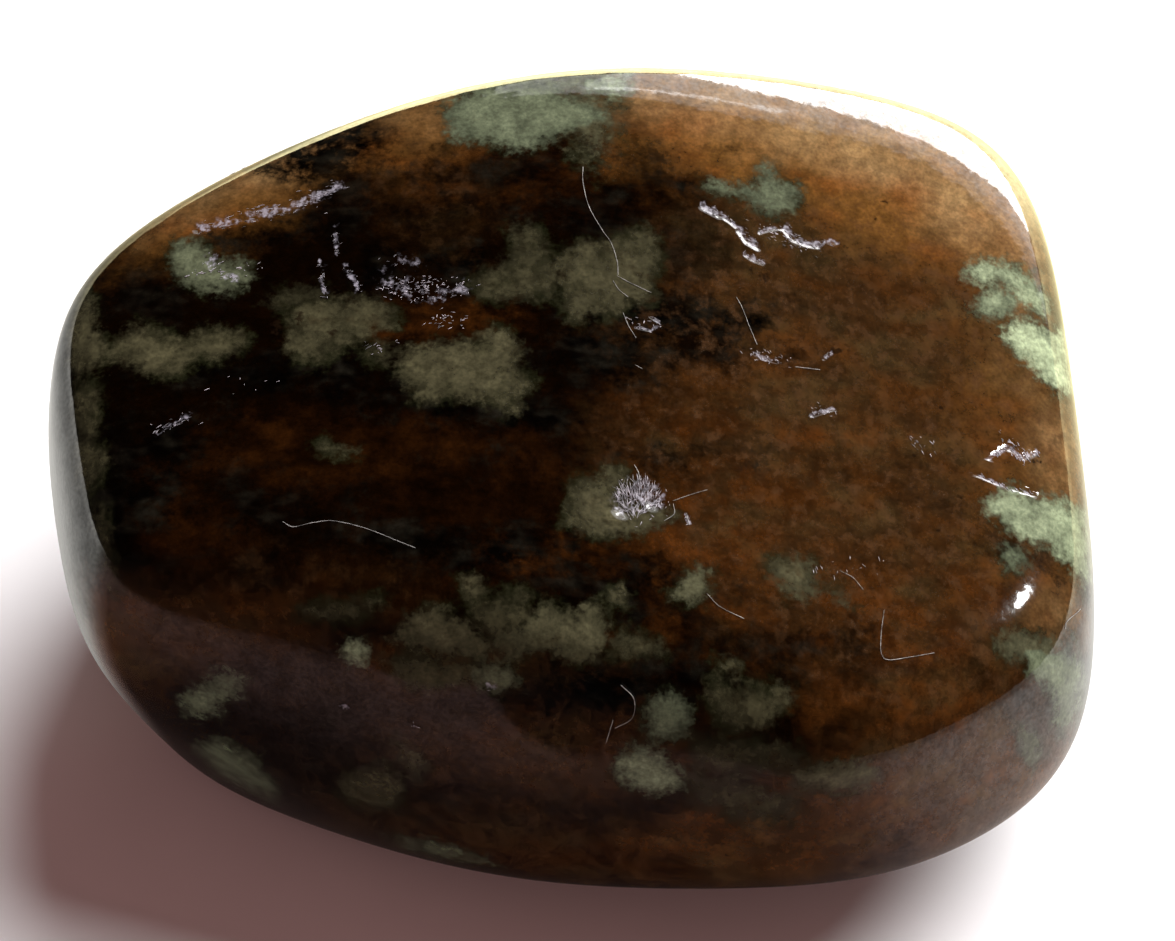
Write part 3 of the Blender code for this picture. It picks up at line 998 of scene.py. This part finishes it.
# Clusters of tiny painted glints, as the broader marks are given.
glintPatches = [
    (425, 288, 48, 26, 10, 1), (450, 322, 26, 16, 0, 0.8), (645, 324, 26, 10, 0, 0.5),
    (772, 358, 40, 10, 0, 0.8), (822, 411, 20, 10, 0, 0.8), (925, 446, 26, 12, 0, 0.6),
    (1012, 446, 30, 22, 0, 0.8), (225, 272, 40, 20, 0, 0.5), (790, 240, 60, 24, 10, 0.4),
    (380, 346, 20, 12, 0, 0.7), (180, 420, 30, 14, 0, 0.3), (640, 500, 34, 24, 0, 0.5),
    (240, 385, 40, 16, 0, 0.15), (850, 570, 60, 10, 0, 0.3),
]
# Glints: painted highlights, pale threads that stand in for the sparkle of tiny breaks in the polish,
# strewn over the glint patches.
glints = {
    "seed": 8,
    "perArea": 40,          # for each square mm
    "crowding": 0.7,        # 0.5 is even, and more gathers them in the middle of a patch
    "length": (1.5, 5.0),
    "radius": 0.0105,
    "colour": (0.33, 0.30, 0.33),
    "mottle": 4.0,
    "shades": (0.15, 1.7),
    "roughness": 0.5,
}


def makeGlints(shift):
    random = np.random.default_rng(glints["seed"])
    frames = [(patchFrame((x, y)), a * photo["pixel"], b * photo["pixel"], strength)
              for x, y, a, b, _, strength in glintPatches]
    frames += strewn(random, *hiddenMarks["glint"])
    places, ways = [], []
    for (middle, _, right, up), a, b, strength in frames:
        for _ in range(int(pi * a * b * glints["perArea"] * strength)):
            turn, heading = random.uniform(0, 2 * pi, 2)
            out = random.uniform() ** glints["crowding"]
            places.append(middle + right * a * out * cos(turn) + up * b * out * sin(turn))
            ways.append(right * cos(heading) + up * sin(heading))
    lengths = random.uniform(*glints["length"], len(places))
    threads = splinterThreads(random, np.array(places), np.array(ways), lengths, glints["radius"])
    return drawThreads("glints", threads, glints["radius"], shift)


mottleLevels = (0.3, 0.7)   # the levels of noise between which the shades run


def mottledMaterial(name, look, detail=2.0):
    material, n, shader = shaderOf(name)
    shade = n.ramp(n.noise(n.millimetres(), look["mottle"], detail), *mottleLevels, *look["shades"])
    n.fill(shader, {"Base Color": n.scaled(look["colour"], shade), "Roughness": look["roughness"]})
    return material


# Studio

# Light: azimuth from +X and elevation (degrees), width as an angle, power and colour. A light
# that isn't mirrored is left out of the polish, so that only the window and lamp show there.
lights = {
    "sky": {"azimuth": 48, "elevation": 46, "angle": 50, "power": 7.5, "mirrored": False},
    "fill": {"azimuth": -110, "elevation": 54, "angle": 100, "power": 0.74, "mirrored": False,
             "colour": (1.0, 0.53, 0.49)},
    "lamp": {"azimuth": 18.9, "elevation": 36.4, "angle": 3.0, "power": 0.47, "mirrored": True},
}
# Windows that only the polish sees: azimuth and elevation in turn for each corner, and radiance.
windows = {
    "paneStrip": ([87, 31.5, 80, 33.8, 72, 35.2, 62, 36.2, 62, 35.2, 72, 34, 80, 32.2, 87, 29.5], 8),
    "mainWindow": ([83, 2, 80, 12, 75, 20, 69, 26.5, 61, 30, 54, 31.5, 47, 27, 42, 15, 38, 5, 38, 0], 20),
    "dimWindow": ([88, 3, 88, 30, 80, 34, 72, 36, 62, 36.8, 54, 36, 48, 33.5, 44, 29.5, 40, 21, 37, 12,
        35, 2], 3.2),
    "veilWindow": ([94, 3, 94, 30, 86, 35, 74, 38.5, 62, 39.5, 53, 38.5, 46, 35, 41, 30, 37, 21, 34, 12,
        32, 2], 1.6),
    "sideWindow": ([96, 3, 96, 22, 80, 27, 80, 3], 1.8),
}
windowDistance = 500
windowSpacing = 0.25        # each hangs this much further off than the one before
room = {"high": 0.002, "low": 0.012, "highAt": 0.7}
floorLook = {"size": 2.0, "colour": (0.80, 0.80, 0.81), "roughness": 0.55, "mottle": 0.2,
             "shades": (0.97, 1.0)}
# What the polish sees of the table: a glow sheet that no other ray meets. Its dim part lies in
# front of the stone and brightens with distance; its bright part lies round the rest. Distances
# are in mm and azimuths in degrees. sideTurn, farTurn, sunTurn and rimTurn are cosines to +X, to
# +Y, and to the sun's azimuth for the last two.
tableGlow = {
    "size": 2400, "height": 0.4,
    "leftTurn": (-155, -172), "rightTurn": (-72, -5),   # azimuths over which shade turns to light
    "left": 1.0, "right": 1.7, "sideTurn": (-0.6, 0.6), # brightness of the lit table
    "contact": (10.5, 19.0), "atContact": 0.03,         # where the stone's own shade ends
    "farOff": (30, 140), "farShare": (0.3, 1.8),        # the far table, in front and behind
    "farTurn": (-0.35, 0.1),
    "sunward": 6.0, "sunAzimuth": 75,                   # the brightest part, under the window
    "sunTurn": (0.76, 0.88), "sunReach": (15, 45),
    "dim": (13, 48, 0.03, 0.34),                        # the dim part: from, to, brightness at each
    "edgeTurn": (-98, -110), "edge": (40, 90),          # where the dim part ends, in front and to the left
    "edgeFade": (0.7, 1.3), "beyondEdge": 0.1,
    "noEdge": (-60, -35),                               # azimuths over which that end is lost again
    "tint": (1.0, 0.60, 0.54),
    "lit": (1.0, 0.98, 0.92),
    "rim": (1.0, 0.90, 0.50), "rimTurn": (0.2, 0.7),
}


def makeLights():
    for name, given in lights.items():
        data = bpy.data.lights.new(name, "SUN")
        light = addObject(name, data)
        back = outward(given["azimuth"], given["elevation"])
        light.location = back
        light.rotation_euler = Vector(back).to_track_quat("Z", "Y").to_euler()
        data.angle = radians(given["angle"])
        data.energy = given["power"]
        data.color = given.get("colour", (1, 1, 1))
        light.visible_glossy = given["mirrored"]
        light.visible_diffuse = not given["mirrored"]


def onlyMirrored(sheet):
    for ray in ("camera", "diffuse", "transmission", "volume_scatter", "shadow"):
        setattr(sheet, "visible_" + ray, False)


def makeWindows():
    for order, (name, (corners, radiance)) in enumerate(windows.items()):
        mesh = bpy.data.meshes.new(name)
        away = windowDistance * (1 + windowSpacing * order) * mm
        points = [outward(*corner) * away for corner in np.reshape(corners, (-1, 2))]
        mesh.from_pydata(points, [], [range(len(points))])
        pane = addObject(name, mesh)
        material, n, shader = shaderOf(name)
        n.fill(shader, {"Base Color": (0, 0, 0), "Emission Color": (1, 1, 1),
                        "Emission Strength": radiance})
        mesh.materials.append(material)
        onlyMirrored(pane)


def makeRoom():
    # a dim room, darkest overhead
    world = bpy.data.worlds.new("room")
    world.use_nodes = True
    n = Nodes(world.node_tree)
    strength = n.ramp(n.apart("Generated")["Z"], 0.0, room["highAt"], room["low"], room["high"])
    n.fill(world.node_tree.nodes["Background"].inputs, {"Strength": strength, "Color": (1, 1, 1)})
    bpy.context.scene.world = world


def addPlane(name, size, height):
    bpy.ops.mesh.primitive_plane_add(size=size, location=(0, 0, height))
    plane = bpy.context.object
    plane.name = name
    return plane


def makeTableGlow():
    glow = tableGlow
    sheet = addPlane("tableGlow", glow["size"] * mm, glow["height"] * mm)
    material, n, shader = shaderOf("tableGlow")
    place = n.apart("Object")
    x, y = place["X"], place["Y"]
    reach = n.maths("SQRT", n.plus(n.maths("POWER", x, 2.0), n.maths("POWER", y, 2.0)))
    across, backward = n.maths("DIVIDE", x, reach), n.maths("DIVIDE", y, reach)
    sun = outward(glow["sunAzimuth"], 0)
    sunward = n.plus(n.times(across, sun[0]), n.times(backward, sun[1]))
    # turned so that the join of the angle lies behind the stone
    angle = n.maths("ARCTAN2", n.times(x, -1.0), n.times(y, -1.0))

    def turned(key, *outcome):
        return n.ramp(angle, *(radians(-90 - azimuth) for azimuth in glow[key]), *outcome)

    def distances(key):
        return [distance * mm for distance in glow[key][:2]]

    bright = n.plus(turned("leftTurn"), turned("rightTurn"), clamp=True)
    lit = n.ramp(across, *glow["sideTurn"], glow["left"], glow["right"])
    lit = n.times(lit, n.ramp(reach, *distances("contact"), glow["atContact"], 1.0))
    farShare = n.ramp(backward, *glow["farTurn"], *glow["farShare"])
    lit = n.times(lit, n.ramp(reach, *distances("farOff"), 1.0, farShare))
    beyond = n.ramp(sunward, *glow["sunTurn"], 0.0, glow["sunward"])
    beyond = n.times(beyond, n.ramp(reach, *distances("sunReach")))
    lit = n.plus(lit, beyond)
    dim = n.ramp(reach, *distances("dim"), *glow["dim"][2:])
    edge = turned("edgeTurn", *distances("edge"))
    ended = n.ramp(n.maths("DIVIDE", reach, edge), *glow["edgeFade"], 1.0, glow["beyondEdge"])
    dim = n.times(dim, n.maths("MAXIMUM", ended, turned("noEdge")))
    strength = n.ramp(bright, 0, 1, dim, lit, smooth=False)
    tableColour = n.mix(n.ramp(sunward, *glow["rimTurn"]), glow["lit"], glow["rim"])
    n.fill(shader, {
        "Base Color": (0, 0, 0),
        "Specular IOR Level": 0,
        "Emission Color": n.mix(bright, glow["tint"], tableColour),
        "Emission Strength": strength,
    })
    material.cycles.emission_sampling = "NONE"
    sheet.data.materials.append(material)
    onlyMirrored(sheet)


def makeFloor():
    floor = addPlane("floor", floorLook["size"], 0)
    floor.data.materials.append(mottledMaterial("paleFloor", floorLook, 3.0))


def makeStudio(shift):
    scene = bpy.context.scene
    scene.view_settings.view_transform = "Standard"
    makeLights()
    makeWindows()
    makeRoom()
    makeTableGlow()
    makeFloor()
    camera = addObject("camera", bpy.data.cameras.new("camera"))
    camera.data.sensor_width = photo["sensor"]
    camera.data.lens = focal * photo["sensor"] / photo["width"]
    camera.data.clip_start = photo["nearClip"] * mm
    camera.location = (eye + shift) * mm
    camera.rotation_euler = (radians(90 - photo["elevation"]), 0, 0)
    scene.camera = camera
    print("studio ready")


stone, shift = makeStone()
stone.data.materials.append(stoneMaterial())
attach(stone, "root")
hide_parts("stone")

for make, look in ((makeLint, lint), (makeSplinters, splinters), (makeGlints, glints)):
    piece = make(shift)
    piece.data.materials.append(mottledMaterial(piece.name, look))
    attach(piece, "root")

makeStudio(shift)
